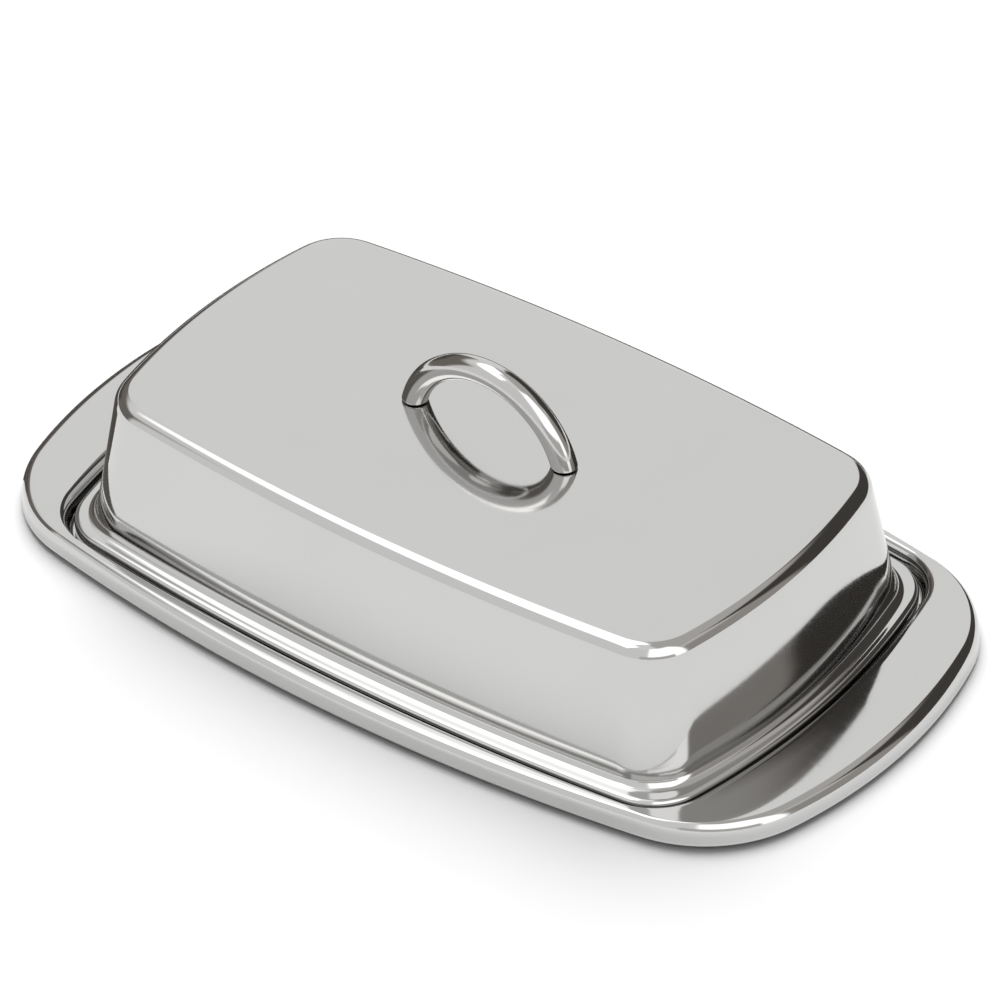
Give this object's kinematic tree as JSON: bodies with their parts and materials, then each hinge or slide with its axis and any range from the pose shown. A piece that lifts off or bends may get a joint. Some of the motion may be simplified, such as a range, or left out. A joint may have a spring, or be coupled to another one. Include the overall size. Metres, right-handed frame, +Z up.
{
  "type": "butter dish",
  "caption": "Covered butter dish in polished stainless steel: shallow pressed tray with wide end lobes, and a deep lid with drafted walls and an arched rod handle.",
  "frame": {"origin": "on the surface the dish stands on, under the centre of the tray", "axes": "+X along the dish's length and its handle, +Z up out of the tray"},
  "size_m": [0.1956, 0.109, 0.0499],
  "materials": {
    "polished_steel_tray": "polished",
    "polished_steel_lid": "polished",
    "polished_steel_handle": "polished",
    "plated_fixings": "satin"
  },
  "bodies": {
    "tray": {"tray": "polished_steel_tray"},
    "lid": {"lid": "polished_steel_lid", "handle": "polished_steel_handle", "handle_screw_left": "plated_fixings", "handle_screw_right": "plated_fixings", "handle_washer_left": "plated_fixings", "handle_washer_right": "plated_fixings"}
  },
  "joints": [
    {"name": "lid_lift", "type": "slide", "parent": "tray", "child": "lid", "axis": [0, 0, 1], "range_m": [0, 0.09]}
  ]
}
